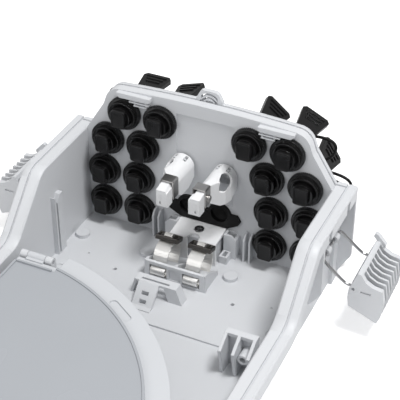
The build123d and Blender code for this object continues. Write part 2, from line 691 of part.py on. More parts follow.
def seal_clamp():
    """Sloping plate screwed down in front of the seal."""
    half = SHELF_WIDTH / 2
    top = DECK + SHELF_HEIGHT
    back, front = PORT - 0.3, PORT - SHELF_REACH
    clamp = plate(side(-half), [(back, top - 3.5), (back, top), (front, top - 2), (front, top - 3.5)], SHELF_WIDTH)
    clamp += box(-half, half, front - 1.5, front + 1, DECK, top - 1.9)
    clamp -= Pos(0, front, 0) * (box(-5, 5, -2, 1, DECK + 2, TALL) + prism_z(0, 1, DECK + 2, TALL, 5))
    clamp -= prism_z(0, PORT - SHELF_SCREW, DECK, TALL, 2.4, 16)
    clamp -= prism_z(0, PORT - SHELF_SCREW, top - 2.6, TALL, 4.4)
    return clamp


def pan_screw(radius, shank, length, head):
    """Pan-head screw pointing down, with its seat at the origin and a cross recess."""
    screw = along_z(0, 0, 0, head, radius) + along_z(0, 0, -length, 0, shank)
    arm = radius * 0.62
    screw -= box(-arm, arm, -0.45, 0.45, head - 0.9, head + 1) + box(-0.45, 0.45, -arm, arm, head - 0.9, head + 1)
    return screw


def strap_bracket():
    """Bracket with two windows that holds the strap clamps against the floor."""
    half = BRACKET_WIDTH / 2
    face = PORT - BRACKET_FACE
    front = make_face(Polyline((-half, 0), (half, 0), (half - 2, BRACKET_HEIGHT), (-half + 2, BRACKET_HEIGHT), close=True))
    for x in (-STRAP_X, STRAP_X):
        front -= Pos(x, 7.8) * Rectangle(HOOP_WIDTH + 2.6, 11.2)
    bracket = Pos(0, 0, DECK) * extrude(elevation(face + BRACKET_WALL) * front, amount=BRACKET_WALL)
    pocket = box(-5, 5, face - 1, face + 1.2, DECK + 3, DECK + 13)
    bracket -= pocket
    back = PORT - STRAP_AT + 9
    for x in (-half + 0.6, -1.2, half - 3.0):
        bracket += plate(side(x), [(face + 1, DECK), (back, DECK), (back, DECK + 4), (face + 6, DECK + BRACKET_HEIGHT - 1),
                                   (face + 1, DECK + BRACKET_HEIGHT - 0.4)], 2.4)
    bar = PORT - STRAP_AT
    bracket += box(-half + 1, half - 1, bar - 5, bar + 3, DECK + 2.2, DECK + 5.4)
    return bracket


def hoop(x):
    """Steel band of one strap clamp, standing on the floor around the bracket's bar."""
    y, z = PORT - STRAP_AT, DECK + HOOP_RADIUS + FIT
    start = side(x - HOOP_WIDTH / 2) * Pos(y, z)
    band = extrude(start * RegularPolygon(HOOP_RADIUS, 36), amount=HOOP_WIDTH)
    hollow = extrude(start * RegularPolygon(HOOP_RADIUS - HOOP_THICK, 36), amount=HOOP_WIDTH)
    return band - hollow


def hoop_housing(x):
    """Pressed worm housing on the crown of a band, tilted back a little."""
    half = HOOP_WIDTH / 2 + 1.8
    shell = box(-half, half, -5.2, 5.2, 0, 5.4)
    shell = chamfer(shell.edges().filter_by(Axis.X).group_by(Axis.Z)[-1], 1.6)
    shell -= box(-half - 1, half + 1, -6, 6, -1, 1.2)
    shell += box(-half, -half + 0.9, -5.2, 5.2, -2.2, 2) + box(half - 0.9, half, -5.2, 5.2, -2.2, 2)
    shell -= along_x(0, 3.2, -half - 1, half + 1, 1.7)
    return Pos(x, PORT - STRAP_AT, DECK + HOOP_RADIUS + FIT) * Rot(-18, 0, 0) * Pos(0, 0, HOOP_RADIUS - 0.9) * shell


def hoop_screw(x):
    """Worm screw that lies across the band in its housing."""
    half = HOOP_WIDTH / 2 + 3.2
    screw = along_x(0, 3.2, -half, half, 1.6) + along_x(0, 3.2, half - 1.2, half + 1.4, 2.6)
    screw -= box(half + 0.4, half + 2, -3, 3, 2.8, 3.6)
    return Pos(x, PORT - STRAP_AT, DECK + HOOP_RADIUS + FIT) * Rot(-18, 0, 0) * Pos(0, 0, HOOP_RADIUS - 0.9) * screw


def fibre_bridge():
    """Low bridge with splayed legs, a slotted top and a ramp with two tie holes."""
    back = PORT - BRIDGE_BACK
    z0, z1 = DECK, DECK + BRIDGE_TOP
    left, right = -24.0, 12.0
    leg = 9.0
    top = box(left, right, back - leg, back, z1 - 2, z1)
    top -= box(left + 5, left + 29, back - leg + 2.6, back - leg + 4.4, z1 - 3, z1 + 1)
    for x, foot in ((left, left - 4), (right, right + 5)):
        inside = 2.2 if x < 0 else -2.2
        top += plate(elevation(back), [(x, z1), (x + inside, z1), (foot + inside, z0), (foot, z0)], leg)
    web = plate(elevation(back - leg + 2), [(right - 11, z1), (right, z1), (right + 5, z0), (right - 7, z0)], 2)
    ramp = plate(side(-20), [(back - leg + 2, z1), (back - leg, z1), (back - leg - 14, z0 + 1.4),
                             (back - leg - 18, z0), (back - leg - 12, z0), (back - leg + 2, z1 - 2.4)], 17.5)
    for step in (6.5, 11.5):
        ramp -= box(-14.5, -8.5, back - leg - step - 1.1, back - leg - step + 1.1, z0 - 1, z1 + 1)
    return top + web + ramp


def arm_plan(inset, end):
    """Plan of the right arm: a wide head that tapers to an offset tongue."""
    wall = PORT - 1 + (2 if inset else 0)
    left, right = ARM_X - ARM_HEAD / 2 + inset, ARM_X + ARM_HEAD / 2 - inset
    inner, outer = ARM_X - ARM_OFFSET - ARM_TONGUE / 2 + inset, ARM_X - ARM_OFFSET + ARM_TONGUE / 2 - inset
    points = [(left, wall), (left, PORT - 8), (inner, PORT - 26), (inner, end), (outer, end), (outer, PORT - 32),
              (right - 1.4, PORT - 20), (right, PORT - 13), (right, wall)]
    return extrude(make_face(Polyline(*points, close=True)), amount=TALL)


def arm_arch(inset):
    """Round-backed section of the arm, open below, run along its whole length."""
    z = DECK + ARM_Z + ARM_CROWN - ARM_HEAD / 2
    radius = ARM_HEAD / 2 - inset
    arch = Pos(ARM_X, z) * Circle(radius) + Pos(ARM_X, z - 20) * Rectangle(2 * radius, 40)
    return extrude(elevation(PORT + 2) * arch, amount=ARM_REACH + 4)


def guide_arm():
    """Right-hand arm: a hooded shell that narrows to a level tongue with a slotted end block."""
    z = DECK + ARM_Z
    crown = z + ARM_CROWN
    tip = PORT - ARM_REACH
    centre = ARM_X - ARM_OFFSET
    low = crown - ARM_DROP
    flank = [(PORT - 1, z - 6), (PORT - 1, crown + 1), (PORT - 14, crown + 1), (tip, low), (tip, z - 1),
             (PORT - 36, z - 1), (PORT - 24, z - 10), (PORT - 12, z - 11)]
    flank_in = [(PORT + 2, z - 20), (PORT + 2, crown - ARM_SKIN), (PORT - 14, crown - ARM_SKIN),
                (tip, low - ARM_SKIN), (tip, z - 20)]
    width = 2 * ARM_X + 10
    outside = arm_plan(0, tip) & arm_arch(0) & plate(side(0), flank, width)
    inside = arm_plan(ARM_SKIN, tip + 9) & arm_arch(ARM_SKIN) & plate(side(0), flank_in, width)
    arm = outside - inside
    window = extrude(SlotOverall(16, 11), amount=30)
    arm -= Pos(ARM_X + 3.0, PORT - 17, z + 5) * Rot(0, 42, 0) * Rot(0, 0, 100) * window
    for x in (ARM_X - HOOK_APART, ARM_X + HOOK_APART):
        half = HOOK_WIDTH / 2 + FIT
        arm -= box(x - half, x + half, PORT - HOOK_REACH - 1.5, PORT - 2.2, z + 6, TALL)
    block = box(centre - ARM_TONGUE / 2, centre + ARM_TONGUE / 2, tip - 0.1, tip + 9, z - 6, low - 1.2)
    block = fillet(block.edges().filter_by(Axis.X).group_by(Axis.Y)[0], 1.6)
    block -= box(centre + 0.6, centre + 2.2, tip - 1, tip + 1.6, z - 3.5, z + 5)
    return arm + block


def arm_clip():
    """Folded steel clip over the right arm's tongue, with its riveted stud."""
    centre = ARM_X - ARM_OFFSET
    half = ARM_TONGUE / 2
    z = DECK + ARM_Z
    y0 = PORT - ARM_REACH + 9.3
    y1 = y0 + 9
    top = z + ARM_CROWN - ARM_DROP * 0.4 + 1.2
    clip = box(centre - half - 1, centre + half + 1, y0, y1, z - 3, top)
    clip = fillet(clip.edges().filter_by(Axis.Y).group_by(Axis.Z)[-1], 1.2)
    clip -= box(centre - half - 0.05, centre + half + 0.05, y0 - 1, y1 + 1, z - 4, top - 0.9)
    clip += along_x((y0 + y1) / 2, z + 4, centre + half + 0.5, centre + half + 3, 2.4)
    return clip


def tray_outline(radius, back_edge, left, near):
    """Plan of the tray: straight along the hinge, left and near sides, and one long arc."""
    sweep_face = Pos(TRAY_X, PORT - TRAY_Y) * Circle(radius)
    limit = Pos((left + TALL) / 2, PORT - (back_edge + near) / 2) * Rectangle(TALL - left, near - back_edge)
    notch = Pos((left + HINGE_X + 22) / 2, PORT - 60) * Rectangle(HINGE_X + 22 - left, 2 * (TRAY_EDGE - 60))
    return sweep_face & limit - notch


def splice_tray():
    """Splice tray: a shallow bowl with a wide flange and a hinge knuckle."""
    z1 = DECK + TRAY_TOP
    z0 = z1 - TRAY_DEPTH
    rim = extrude(Pos(0, 0, z1 - TRAY_SKIN) * tray_outline(TRAY_RADIUS, 92, TRAY_LEFT, TRAY_NEAR), amount=TRAY_SKIN)
    bowl = extrude(Pos(0, 0, z0) * tray_outline(LID_RADIUS - 6, 92, TRAY_LEFT + 4, TRAY_NEAR - 4), amount=TRAY_DEPTH)
    hollow = extrude(Pos(0, 0, z0 + TRAY_SKIN) * tray_outline(LID_RADIUS - 8, 92, TRAY_LEFT + 6, TRAY_NEAR - 6),
                     amount=TRAY_DEPTH)
    cut = box(HINGE_X - 30, HINGE_X + 24, PORT - TRAY_EDGE - 6, PORT, z0 + TRAY_SKIN - 1, z1 - TRAY_SKIN)
    tray = rim + bowl - (hollow - cut)
    y = PORT - HINGE_AT
    tray += box(HINGE_X - 7.6, HINGE_X + 7.6, PORT - TRAY_EDGE - 1, y, z1 - 3, z1 + 1)
    tray += along_x(y, z1, HINGE_X - 7.6, HINGE_X + 7.6, 3.5)
    tray -= along_x(y, z1, HINGE_X - 9, HINGE_X + 9, HINGE_PIN_RADIUS + RUNNING_FIT)
    scoop = Pos(TRAY_X, PORT - TRAY_Y, z1 - 1.2) * Rot(0, 0, 57) * Pos(LID_RADIUS + 5.5, 0, 0)
    tray -= scoop * extrude(SlotOverall(26, 6.5, rotation=90), amount=5)
    return tray


def tray_lid():
    """Flat tray lid with a raised edge and a lip along the hinge side."""
    z = DECK + TRAY_TOP + 0.2
    outline = tray_outline(LID_RADIUS, 92, TRAY_LEFT + 1, TRAY_NEAR - 1)
    inner = tray_outline(LID_RADIUS - 2, 92, TRAY_LEFT + 3, TRAY_NEAR - 3)
    back = PORT - TRAY_EDGE - 7
    lid = extrude(Pos(0, 0, z) * outline, amount=LID_THICK)
    lid -= extrude(Pos(0, 0, z + LID_THICK - 0.9) * inner, amount=2)
    lid -= box(TRAY_LEFT, HINGE_X + 22, back, PORT, z - 1, z + 5)
    lid += box(TRAY_LEFT + 4, HINGE_X + 20, back - 1.6, back, z, z + LID_THICK + 0.8)
    return lid


def splice_holder():
    """Comb that holds the splice sleeves, on the tray's floor."""
    z = DECK + TRAY_TOP - TRAY_DEPTH + TRAY_SKIN
    holder = box(-60, 2, PORT - 254, PORT - 214, z, z + 7.5)
    for index in range(12):
        x = -56.5 + index * 4.8
        holder -= box(x - 1.5, x + 1.5, PORT - 255, PORT - 213, z + 1.6, z + 9)
    return holder - box(-61, 3, PORT - 242, PORT - 226, z + 4.5, z + 9)


def tray_pin():
    """Hinge pin of the tray."""
    return along_x(PORT - HINGE_AT, DECK + TRAY_TOP, HINGE_X - 14, HINGE_X + 14, HINGE_PIN_RADIUS)


def clip_block():
    """Fibre clip on the floor: a bridge of raked fins with a peg in one cell."""
    x0, y0 = 73.5, PORT - 118
    z = FLOOR
    height = 33.0
    block = box(x0, x0 + 25, y0 - 6, y0, z + height - 3, z + height)
    for x in (x0, x0 + 10.5, x0 + 22.5):
        block += plate(side(x), [(y0, z), (y0 - 14, z), (y0 - 19, z + height - 8), (y0 - 6, z + height),
                                 (y0, z + height)], 2.5)
    block += box(x0, x0 + 25, y0 - 2.5, y0, z, z + height - 1)
    peg = along_y(x0 + 17.8, z + 18, y0 - 14, y0 - 1, 4.2) - along_y(x0 + 17.8, z + 18, y0 - 15, y0 - 6, 2.4)
    return block + peg


def latch_bail():
    """Stainless wire bail of the right latch, bent from one wire with its ends meeting at the back."""
    z_pivot, z_knee = DECK + BAIL_PIVOT_Z, DECK + BAIL_KNEE_Z
    near, far = PORT - BAIL_NEAR, PORT - BAIL_FAR
    middle = (near + far) / 2
    points = [(BAIL_PIVOT_X, middle - 0.4, z_pivot), (BAIL_PIVOT_X, near, z_pivot), (BAIL_KNEE_X, near, z_knee),
              (LEVER_X, near, z_knee), (LEVER_X, far, z_knee), (BAIL_KNEE_X, far, z_knee),
              (BAIL_PIVOT_X, far, z_pivot), (BAIL_PIVOT_X, middle + 0.4, z_pivot)]
    return wire(eased(points, 2.2), BAIL_RADIUS, 8)


def lever_outline():
    """Side outline of the latch lever about the bail's bar: ridge, waist, tail and rounded back."""
    outline = make_face(Polyline((2.6, 15.6), (5.4, 15.2), (9.5, 9.0), (15.5, 5.6), (22.6, 4.6), (24.4, -6.0),
                                 (22.6, -21), (20.2, -26.8), (-2.6, -17.0), (-3.8, -8.0), (-3.2, 0), close=True))
    return fillet(outline.vertices().sort_by(Axis.Y)[:3], 1.1)


def latch_lever():
    """Ribbed lever of the right latch, hanging from the bail's bar."""
    z = DECK + BAIL_KNEE_Z
    start = PORT - (BAIL_NEAR + BAIL_FAR) / 2 + LEVER_WIDTH / 2
    place = Plane(origin=(LEVER_X, start, z), x_dir=(1, 0, 0), z_dir=(0, -1, 0))
    lever = extrude(place * lever_outline(), amount=LEVER_WIDTH)
    cell = (LEVER_WIDTH - 6.4) / (LEVER_RIBS + 1)
    pocket = make_face(Polyline((5.6, 13.6), (40, 13.6), (40, -24.0), (17.5, -24.0), (6.5, -6.0), (4.2, 3.4), close=True))
    for index in range(LEVER_RIBS + 1):
        y = start - 3.2 - index * cell
        lever -= extrude(Plane(origin=(LEVER_X, y - 0.9, z), x_dir=(1, 0, 0), z_dir=(0, -1, 0)) * pocket,
                         amount=cell - 1.8)
    lever += along_y(LEVER_X, z, start - 8, start - LEVER_WIDTH + 8, 3.2)
    hook = Plane(origin=(LEVER_X, start, z), x_dir=(1, 0, 0), z_dir=(0, -1, 0)) * (Pos(5.2, 16.2) * Rot(0, 0, -48)
                                                                                 * SlotOverall(13, 4))
    lever += extrude(hook, amount=3.6)
    for y in (PORT - BAIL_NEAR, PORT - BAIL_FAR):
        lever -= box(LEVER_X - 8, LEVER_X + BAIL_RADIUS + 0.5, y - 2.6, y + 2.6, z - 30, z + 12)
    lever -= box(LEVER_X + 6, LEVER_X + 14, start - LEVER_WIDTH - 1, start - LEVER_WIDTH + 1, z - 1.6, z + 0.2)
    lever -= along_y(LEVER_X, z, start + 1, start - LEVER_WIDTH - 1, BAIL_RADIUS + RUNNING_FIT)
    return lever


def several(shapes):
    """Separate like pieces that share one file."""
    return Compound(children=[s if isinstance(s, Solid) else s.solids()[0] for s in shapes])


def parts():
    """Every named piece of the box."""
    pieces = case_blocks(base_shell())
    plan = tether_plan()
    body, cap = adapter(), dust_cap()
    for index, place in enumerate(PORTS, start=1):
        pieces[f"dust_cap_{index:02d}"] = at_port(cap, place, PADDLE_TURNS[index - 1])
    half = len(PORTS) // 2
    pieces["port_adapters_left"] = several([at_port(body, place) for place in PORTS[:half]])
    pieces["port_adapters_right"] = several([at_port(body, place) for place in PORTS[half:]])
    nut, plug = lock_nut(), inner_plug()
    pieces["lock_nuts"] = several([at_port(nut, place, 15 * i) for i, place in enumerate(PORTS)])
    pieces["inner_dust_plugs"] = several([at_port(plug, place) for place in PORTS])
    pieces["cap_tethers"] = several([at_port(tether(*plan[i]), place) for i, place in enumerate(PORTS)])
    pieces["cable_seal"] = cable_seal()
    pieces["seal_clamp"] = seal_clamp()
    screw = pan_screw(3.9, 1.35, 9, 2.2)
    pieces["clamp_screw"] = Pos(0, PORT - SHELF_SCREW, DECK + SHELF_HEIGHT - 2.6) * screw
    pieces["strap_bracket"] = strap_bracket()
    pieces["strap_bands"] = several([hoop(x) for x in (-STRAP_X, STRAP_X)])
    pieces["strap_housings"] = several([hoop_housing(x) for x in (-STRAP_X, STRAP_X)])
    pieces["strap_screws"] = several([hoop_screw(x) for x in (-STRAP_X, STRAP_X)])
    pieces["fibre_bridge"] = fibre_bridge()
    arm, clip = guide_arm(), arm_clip()
    pieces["guide_arm_right"] = arm
    pieces["arm_clip_right"] = clip
    pieces["guide_arm_left"] = mirrored(arm)
    pieces["arm_clip_left"] = mirrored(clip)
    pieces["splice_tray"] = splice_tray()
    pieces["tray_lid"] = tray_lid()
    pieces["splice_holder"] = splice_holder()
    pieces["tray_pin"] = tray_pin()
    pieces["fibre_clip_block"] = clip_block()
    bail, lever = latch_bail(), latch_lever()
    pieces["latch_bail_right"] = bail
    pieces["latch_bail_left"] = mirrored(bail)
    pieces["latch_lever_right"] = lever
    pieces["latch_lever_left"] = mirrored(lever)
    return pieces


os.makedirs("parts", exist_ok=True)
for name, shape in parts().items():
    export_step(shape, f"parts/{name}.step")
    print(name, "solids", len(shape.solids()), "volume", round(shape.volume))
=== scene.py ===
# %% [markdown]
# # A fibre termination box, dressed for the camera
# The box is the open base of an outdoor cabinet: a light grey moulding with black ports in its end
# wall. Its solids come from the frame, already at their real size. This lesson gives them their
# finishes, adds the small moulded details, and lights them on a pale floor.

from math import atan2, cos, pi, radians, sin

import bmesh
import bpy
from mathutils import Matrix, Vector


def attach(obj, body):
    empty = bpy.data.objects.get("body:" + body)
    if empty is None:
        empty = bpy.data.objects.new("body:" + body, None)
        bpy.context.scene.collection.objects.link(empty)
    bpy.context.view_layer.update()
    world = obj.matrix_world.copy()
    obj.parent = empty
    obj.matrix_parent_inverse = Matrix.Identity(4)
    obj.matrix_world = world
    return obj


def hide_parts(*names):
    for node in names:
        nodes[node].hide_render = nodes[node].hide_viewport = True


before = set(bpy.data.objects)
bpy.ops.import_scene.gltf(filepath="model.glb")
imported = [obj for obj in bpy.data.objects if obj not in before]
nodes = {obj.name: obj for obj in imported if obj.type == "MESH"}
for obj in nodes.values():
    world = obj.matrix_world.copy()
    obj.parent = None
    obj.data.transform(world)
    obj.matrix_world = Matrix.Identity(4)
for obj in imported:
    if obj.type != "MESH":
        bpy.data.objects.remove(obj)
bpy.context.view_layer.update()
MM = 0.001

# %% [markdown]
# ## Camera
# The photograph looks down into the box from its right near corner. Long studio lenses keep the
# edges nearly parallel, so the camera stands about a metre off with a long focal length.

# %% Camera
CAMERA_PLACE = Vector((0.332, -0.564, 0.6275))
CAMERA_TURN = 25.0
CAMERA_DIP = 36.04
CAMERA_LENS = 108.1

camera_data = bpy.data.cameras.new("camera")
camera_data.lens = CAMERA_LENS
camera_data.sensor_width = 36.0
camera_data.clip_start = 0.01
camera = bpy.data.objects.new("camera", camera_data)
camera.location = CAMERA_PLACE
camera.rotation_euler = (radians(90 - CAMERA_DIP), 0, radians(CAMERA_TURN))
bpy.context.scene.collection.objects.link(camera)
bpy.context.scene.camera = camera
bpy.context.scene.view_settings.view_transform = "Standard"
print("camera", [round(v, 3) for v in camera.location])

# %% [markdown]
# ## Shader helper
# Finishes mix a few masks. Writing `mask * 0.2 + rough` is easier to read than a page of node calls,
# so one small class wraps a socket and turns Python's operators into Math nodes. Every other node
# comes from one method of the finish.


# %% Shader helper
class Value:
    """A shader number that can stand in a Python expression."""

    def __init__(self, tree, socket):
        self.tree = tree
        self.socket = socket

    def _math(self, operation, first, second):
        node = self.tree.nodes.new("ShaderNodeMath")
        node.operation = operation
        fill(self.tree, node.inputs[0], first)
        fill(self.tree, node.inputs[1], second)
        return Value(self.tree, node.outputs[0])

    def __add__(self, other):
        return self._math("ADD", self, other)

    def __mul__(self, other):
        return self._math("MULTIPLY", self, other)


def fill(tree, socket, value):
    """Gives a socket a plain value or a link."""
    if isinstance(value, Value):
        tree.links.new(value.socket, socket)
    else:
        socket.default_value = value


class Finish:
    """A material that is built up node by node."""

    def __init__(self, name):
        self.material = bpy.data.materials.new(name)
        self.material.use_nodes = True
        self.tree = self.material.node_tree
        self.shader = self.tree.nodes["Principled BSDF"]

    def node(self, kind, settings, inputs, output=0):
        """Adds a node of a type, sets it, fills its sockets and returns one output."""
        node = self.tree.nodes.new(kind)
        for key, value in settings.items():
            setattr(node, key, value)
        for key, value in inputs.items():
            fill(self.tree, node.inputs[key], value)
        return Value(self.tree, node.outputs[output])

    def surface(self, **values):
        """Sets the shader's sockets; an underscore stands for a space."""
        for key, value in values.items():
            fill(self.tree, self.shader.inputs[key.replace("_", " ")], value)
        return self.material


print("helpers ready")

# %% [markdown]
# ## Finishes
# The real box is moulded in one light grey plastic with a satin skin. Moulded edges are never
# sharp, so a Bevel node rounds the light that falls on them, and a faint grain breaks up the
# highlights. Black ports share the recipe, with a darker and glossier skin.


# %% Moulded plastic
EDGE_SAMPLES = 6
GRAIN_SCALE, GRAIN_DEEP = 1800.0, 0.2 * MM
DRIFT_SCALE, COLOUR_DRIFT, GLOSS_DRIFT = 14.0, 0.05, 0.16
COLOUR_RESULT = 2


def object_place(finish):
    """The point on the surface in the object's own metres."""
    return finish.node("ShaderNodeTexCoord", {}, {}, "Object")


def noise(finish, place, scale, detail):
    """A soft noise between 0 and 1."""
    return finish.node("ShaderNodeTexNoise", {}, {"Vector": place, "Scale": scale, "Detail": detail})


def relief(finish, height, strength, deep, edge):
    """The surface's normal: a fine relief on edges that the Bevel node rounds."""
    soft = finish.node("ShaderNodeBevel", {"samples": EDGE_SAMPLES}, {"Radius": edge})
    bump = {"Strength": strength, "Distance": deep, "Height": height, "Normal": soft}
    return finish.node("ShaderNodeBump", {}, bump)


def moulded(name, colour, rough, edge, grain=0.03, sheen=0.35):
    """Satin moulded plastic with softened edges, a fine grain and a slight drift of gloss."""
    finish = Finish(name)
    place = object_place(finish)
    fine = noise(finish, place, GRAIN_SCALE, 2.0)
    broad = noise(finish, place, DRIFT_SCALE, 3.0)
    dark = tuple(c * (1 - COLOUR_DRIFT) for c in colour) + (1.0,)
    blend = {"Factor": broad, "A": dark, "B": colour + (1.0,)}
    tint = finish.node("ShaderNodeMix", {"data_type": "RGBA"}, blend, COLOUR_RESULT)
    gloss = broad * GLOSS_DRIFT + (rough - GLOSS_DRIFT / 2)
    return finish.surface(Base_Color=tint, Roughness=gloss, Specular_IOR_Level=sheen,
                          Normal=relief(finish, fine, grain, GRAIN_DEEP, edge))


CASE_GREY = (0.655, 0.668, 0.690)
TRAY_GREY = (0.600, 0.616, 0.640)
LID_GREY = (0.400, 0.418, 0.445)
ARM_WHITE = (0.830, 0.835, 0.845)
PORT_BLACK = (0.004, 0.0038, 0.004)
CAP_BLACK = (0.006, 0.0058, 0.006)
RUBBER_BLACK = (0.006, 0.006, 0.006)

case_plastic = moulded("case plastic", CASE_GREY, 0.42, 0.7 * MM)
tray_plastic = moulded("tray plastic", TRAY_GREY, 0.36, 0.6 * MM)
lid_plastic = moulded("lid plastic", LID_GREY, 0.26, 0.5 * MM, grain=0.015)
arm_plastic = moulded("arm plastic", ARM_WHITE, 0.30, 0.5 * MM, grain=0.015)
port_plastic = moulded("port plastic", PORT_BLACK, 0.16, 0.45 * MM, grain=0.01, sheen=0.5)
cap_plastic = moulded("cap plastic", CAP_BLACK, 0.28, 0.5 * MM, grain=0.03, sheen=0.3)
seal_rubber = moulded("seal rubber", RUBBER_BLACK, 0.50, 0.4 * MM, grain=0.10, sheen=0.2)
print("plastics", len(bpy.data.materials))

# %% [markdown]
# ## Metals
# The bails are drawn stainless wire and the strap bands are rolled strip, so both shine with fine
# marks along them. The worm housings and clips are pressed from darker strip.


# %% Metals
STREAK_STRETCH = 0.08
STREAK_STRENGTH, STREAK_DEEP, STREAK_GLOSS = 0.06, 0.1 * MM, 0.2
STEEL_EDGE = 0.25 * MM


def rolled(name, colour, rough, scale):
    """Rolled or drawn steel: bright, with a fine unevenness in its gloss."""
    finish = Finish(name)
    stretch = {"Vector": object_place(finish), "Scale": (scale, scale * STREAK_STRETCH, scale)}
    lines = noise(finish, finish.node("ShaderNodeMapping", {}, stretch), 1.0, 3.0)
    return finish.surface(Base_Color=colour + (1.0,), Metallic=1.0,
                          Roughness=lines * STREAK_GLOSS + rough,
                          Normal=relief(finish, lines, STREAK_STRENGTH, STREAK_DEEP, STEEL_EDGE))


wire_steel = rolled("wire steel", (0.42, 0.42, 0.43), 0.12, 2200.0)
band_steel = rolled("band steel", (0.86, 0.85, 0.83), 0.34, 1500.0)
clip_steel = rolled("clip steel", (0.48, 0.47, 0.46), 0.22, 1500.0)
worm_steel = rolled("worm steel", (0.16, 0.15, 0.14), 0.28, 1800.0)
print("metals", len(bpy.data.materials))

# %% [markdown]
# ## Dressing the solids
# Each solid of the frame gets the finish of its kind, found by the start of its name. Pieces that
# are modelled anew further down take the place of some of them.

# %% Dress the solids
FINISHES = {
    "case_": case_plastic, "seal_clamp": arm_plastic, "strap_bracket": case_plastic,
    "fibre_bridge": case_plastic, "fibre_clip_block": case_plastic,
    "splice_tray": tray_plastic, "tray_lid": lid_plastic, "splice_holder": arm_plastic,
    "guide_arm": arm_plastic, "arm_clip": clip_steel, "tray_pin": wire_steel,
    "port_adapters": port_plastic, "lock_nuts": port_plastic,
    "inner_dust_plugs": cap_plastic, "dust_cap": cap_plastic, "cap_tethers": seal_rubber,
    "cable_seal": seal_rubber, "clamp_screw": wire_steel,
    "strap_bands": band_steel, "strap_housings": worm_steel, "strap_screws": worm_steel,
    "latch_bail": wire_steel, "latch_lever": case_plastic,
}


def dress(node, finish):
    """Gives a CAD node one finish in place of its plain colour."""
    node.data.materials.clear()
    node.data.materials.append(finish)


for name, node in nodes.items():
    kind = next(k for k in FINISHES if name.startswith(k))
    dress(node, FINISHES[kind])
print("dressed", len(nodes))

# %% [markdown]
# ## One moulding again
# The case is one injection moulding. Its solids come as blocks that meet in its inside corners, so a
# copy joins them with the Boolean union, and no seam is left for the softened edges to catch.

# %% Join the case
case_names = sorted(name for name in nodes if name.startswith("case_"))
bpy.ops.object.select_all(action="DESELECT")
moulding = nodes[case_names[0]].copy()
moulding.data = nodes[case_names[0]].data.copy()
moulding.name = "case_moulding"
bpy.context.scene.collection.objects.link(moulding)
bpy.context.view_layer.objects.active = moulding
moulding.select_set(True)
for name in case_names[1:]:
    union = moulding.modifiers.new("union", "BOOLEAN")
    union.operation = "UNION"
    union.solver = "EXACT"
    union.object = nodes[name]
    bpy.ops.object.modifier_apply(modifier=union.name)
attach(moulding, "case")
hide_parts(*case_names)
print("joined", len(case_names), "blocks into", len(moulding.data.polygons), "faces")

# %% [markdown]
# ## Modelling by hand
# Every new piece starts as a primitive that is shaped in edit mode. An operator acts on whatever is
# selected, so the helper first clears the selection, then opens the new primitive with nothing in
# it selected. Faces are then picked by where they lie and where they look.


# %% Modelling helpers
def start_piece(name, add, **settings):
    """Adds a primitive with nothing else selected and opens it in edit mode."""
    bpy.ops.object.select_all(action="DESELECT")
    add(**settings)
    thing = bpy.context.object
    thing.name = name
    bpy.ops.object.transform_apply(location=True, rotation=True, scale=True)
    bpy.ops.object.mode_set(mode="EDIT")
    bpy.ops.mesh.select_mode(type="FACE")
    bpy.ops.mesh.select_all(action="DESELECT")
    return thing


def pick_faces(thing, test):
    """Selects the faces whose centre and normal pass a test, and says how many there are."""
    shape = bmesh.from_edit_mesh(thing.data)
    shape.normal_update()
    chosen = [face for face in shape.faces if test(face.calc_center_median(), face.normal)]
    for face in shape.faces:
        face.select_set(False)
    for face in chosen:
        face.select_set(True)
    bmesh.update_edit_mesh(thing.data)
    return len(chosen)


def push(distance):
    """Extrudes the picked region and moves it by a vector."""
    bpy.ops.mesh.extrude_region_move(TRANSFORM_OT_translate={"value": distance})


BEVEL_FROM, SMOOTH_BELOW = radians(40), radians(38)


def close_piece(thing, finish, edge, segments=2):
    """Leaves edit mode, rounds the edges with a bevel that is applied, and gives the finish."""
    bpy.ops.object.mode_set(mode="OBJECT")
    if edge:
        bevel = thing.modifiers.new("rounded edges", "BEVEL")
        bevel.width = edge
        bevel.segments = segments
        bevel.limit_method = "ANGLE"
        bevel.angle_limit = BEVEL_FROM
        bpy.ops.object.modifier_apply(modifier=bevel.name)
    bpy.ops.object.shade_smooth_by_angle(angle=SMOOTH_BELOW)
    thing.data.materials.append(finish)
    return thing


def place_copy(pattern, name, matrix, body, node):
    """Copies a finished piece with a mesh of its own, set in place inside the mesh."""
    twin = pattern.copy()
    twin.data = pattern.data.copy()
    twin.name = name
    twin.data.transform(matrix)
    bpy.context.scene.collection.objects.link(twin)
    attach(twin, body)
    if node:
        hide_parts(node)


def forget(pattern):
    """Removes a pattern once its copies stand in place."""
    bpy.data.objects.remove(pattern, do_unlink=True)


print("modelling helpers ready")

# %% [markdown]
# ## Where the ports are
# The sixteen ports stand in four rows on a 32 mm pitch. The two upper rows lean in with the
# shoulders of the wall, so their height is worked out from the pitch and the lean.

# %% Port places
PORT_FACE = 157.0 * MM
DECK = 4.5 * MM
PITCH = 32.0 * MM
INNER_COLUMN, LOW_ROW = 59.0 * MM, DECK + 20.0 * MM
LEANS = (0.0, 0.0, 4.5 * MM, 20.5 * MM)
port_rows = [(INNER_COLUMN, LOW_ROW)]
for before, lean in zip(LEANS, LEANS[1:]):
    rise = (PITCH**2 - (lean - before) ** 2) ** 0.5
    port_rows.append((INNER_COLUMN - lean, port_rows[-1][1] + rise))
ports = []
for hand in (-1, 1):
    for inner, height in reversed(port_rows):
        ports += [(x, height) for x in sorted((hand * inner, hand * (inner + PITCH)))]
print("ports", len(ports))

# %% [markdown]
# ## Lock nuts
# Each port is held by a black nut: a wide rim against the wall and a narrower grip ring in front,
# both with fine grip ribs. It starts as a cylinder. Insets and extrusions of its front face make
# the grip ring and the bore, and every second side face is pulled out a little to make the ribs.

